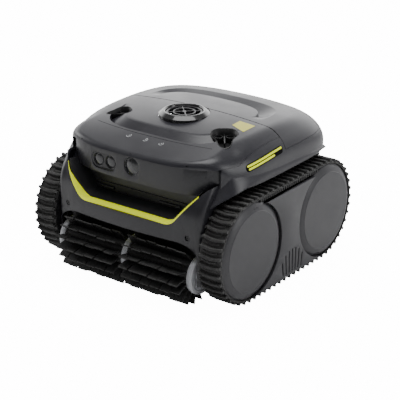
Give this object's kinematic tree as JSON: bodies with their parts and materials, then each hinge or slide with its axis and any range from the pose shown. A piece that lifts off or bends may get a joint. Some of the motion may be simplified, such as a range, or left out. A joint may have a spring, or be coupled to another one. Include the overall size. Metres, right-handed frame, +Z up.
{
  "type": "robotic pool cleaner",
  "caption": "Tracked cordless pool cleaning robot with a front brush roller, top water outlet, hinged rear filter lid and wheels inside rubber belts.",
  "frame": {"origin": "on the floor, under the middle of the overall length and width", "axes": "+Z up, -Y towards the brush roller at the front, +X to the right when the brush roller faces the viewer"},
  "size_m": [0.427, 0.4502, 0.2905],
  "materials": {
    "shell_grey": "satin dark grey",
    "panel_grey": "satin darker grey",
    "disc_grey": "satin grey",
    "chassis_black": "matte black",
    "gloss_black": "gloss black",
    "rubber_black": "matte black rubber",
    "lime": "satin lime yellow",
    "roller_grey": "light grey",
    "steel": "stainless",
    "battery_grey": "grey",
    "basket_grey": "grey"
  },
  "bodies": {
    "root": {"top_cover": "shell_grey", "side_shell_left": "shell_grey", "side_shell_right": "shell_grey", "rear_panel": "shell_grey", "front_bumper": "shell_grey", "front_fascia": "shell_grey", "recess_liner": "panel_grey", "sensor_bezel": "panel_grey", "track_plate_left": "disc_grey", "track_plate_right": "disc_grey", "chassis": "chassis_black", "base_plate": "chassis_black", "charging_socket": "chassis_black", "outlet_duct": "chassis_black", "outlet_collar": "gloss_black", "outlet_grille": "gloss_black", "port_insert_left": "gloss_black", "port_insert_right": "gloss_black", "strip_bezel_left": "gloss_black", "strip_bezel_right": "gloss_black", "sensor_lens_left": "gloss_black", "sensor_lens_right": "gloss_black", "centre_sensor": "gloss_black", "track_belt_left": "rubber_black", "track_belt_right": "rubber_black", "accent_trim": "lime", "light_strip_left": "lime", "light_strip_right": "lime", "bumper_screw_left": "steel", "bumper_screw_right": "steel", "lid_hinge_pin": "steel", "battery_pack": "battery_grey", "control_box": "battery_grey", "drive_gearbox_left": "battery_grey", "drive_gearbox_right": "battery_grey", "brush_gearbox": "battery_grey", "pump_motor": "battery_grey", "filter_basket": "basket_grey"},
    "lid": {"filter_lid": "shell_grey"},
    "front_wheel_left": {"wheel_front_left": "chassis_black", "wheel_cap_front_left": "disc_grey", "axle_front_left": "steel"},
    "rear_wheel_left": {"wheel_rear_left": "chassis_black", "wheel_cap_rear_left": "disc_grey", "axle_rear_left": "steel"},
    "front_wheel_right": {"wheel_front_right": "chassis_black", "wheel_cap_front_right": "disc_grey", "axle_front_right": "steel"},
    "rear_wheel_right": {"wheel_rear_right": "chassis_black", "wheel_cap_rear_right": "disc_grey", "axle_rear_right": "steel"},
    "brush_roller": {"brush_left": "rubber_black", "brush_right": "rubber_black", "roller_disc_left": "roller_grey", "roller_disc_centre": "roller_grey", "roller_disc_right": "roller_grey", "brush_shaft": "steel"},
    "impeller": {"impeller": "gloss_black"},
    "suction_flap": {"suction_flap": "rubber_black"},
    "charging_cover": {"charging_cover": "rubber_black"}
  },
  "joints": [
    {"name": "front_wheel_left_spin", "type": "hinge", "parent": "root", "child": "front_wheel_left", "pos_m": [-0.185, -0.10515, 0.097], "axis": [1, 0, 0], "continuous": true},
    {"name": "rear_wheel_left_spin", "type": "hinge", "parent": "root", "child": "rear_wheel_left", "pos_m": [-0.185, 0.12815, 0.097], "axis": [1, 0, 0], "continuous": true},
    {"name": "front_wheel_right_spin", "type": "hinge", "parent": "root", "child": "front_wheel_right", "pos_m": [0.185, -0.10515, 0.097], "axis": [1, 0, 0], "continuous": true},
    {"name": "rear_wheel_right_spin", "type": "hinge", "parent": "root", "child": "rear_wheel_right", "pos_m": [0.185, 0.12815, 0.097], "axis": [1, 0, 0], "continuous": true},
    {"name": "brush_spin", "type": "hinge", "parent": "root", "child": "brush_roller", "pos_m": [0, -0.16615, 0.06], "axis": [1, 0, 0], "continuous": true},
    {"name": "impeller_spin", "type": "hinge", "parent": "root", "child": "impeller", "pos_m": [0, -0.0215, 0.24795], "axis": [0, 0, 1], "continuous": true},
    {"name": "lid_hinge", "type": "hinge", "parent": "root", "child": "lid", "pos_m": [0, 0.2108, 0.2483], "axis": [-1, 0, 0], "range_deg": [0, 75]},
    {"name": "suction_flap_hinge", "type": "hinge", "parent": "root", "child": "suction_flap", "pos_m": [0, -0.082, 0.0313], "axis": [1, 0, 0], "range_deg": [0, 60]},
    {"name": "charging_cover_hinge", "type": "hinge", "parent": "root", "child": "charging_cover", "pos_m": [0, 0.2011, 0.2296], "axis": [1, 0, 0], "range_deg": [0, 100]}
  ],
  "couplings": [
    {"joint": "rear_wheel_left_spin", "follows": "front_wheel_left_spin", "ratio": 1},
    {"joint": "rear_wheel_right_spin", "follows": "front_wheel_right_spin", "ratio": 1}
  ]
}
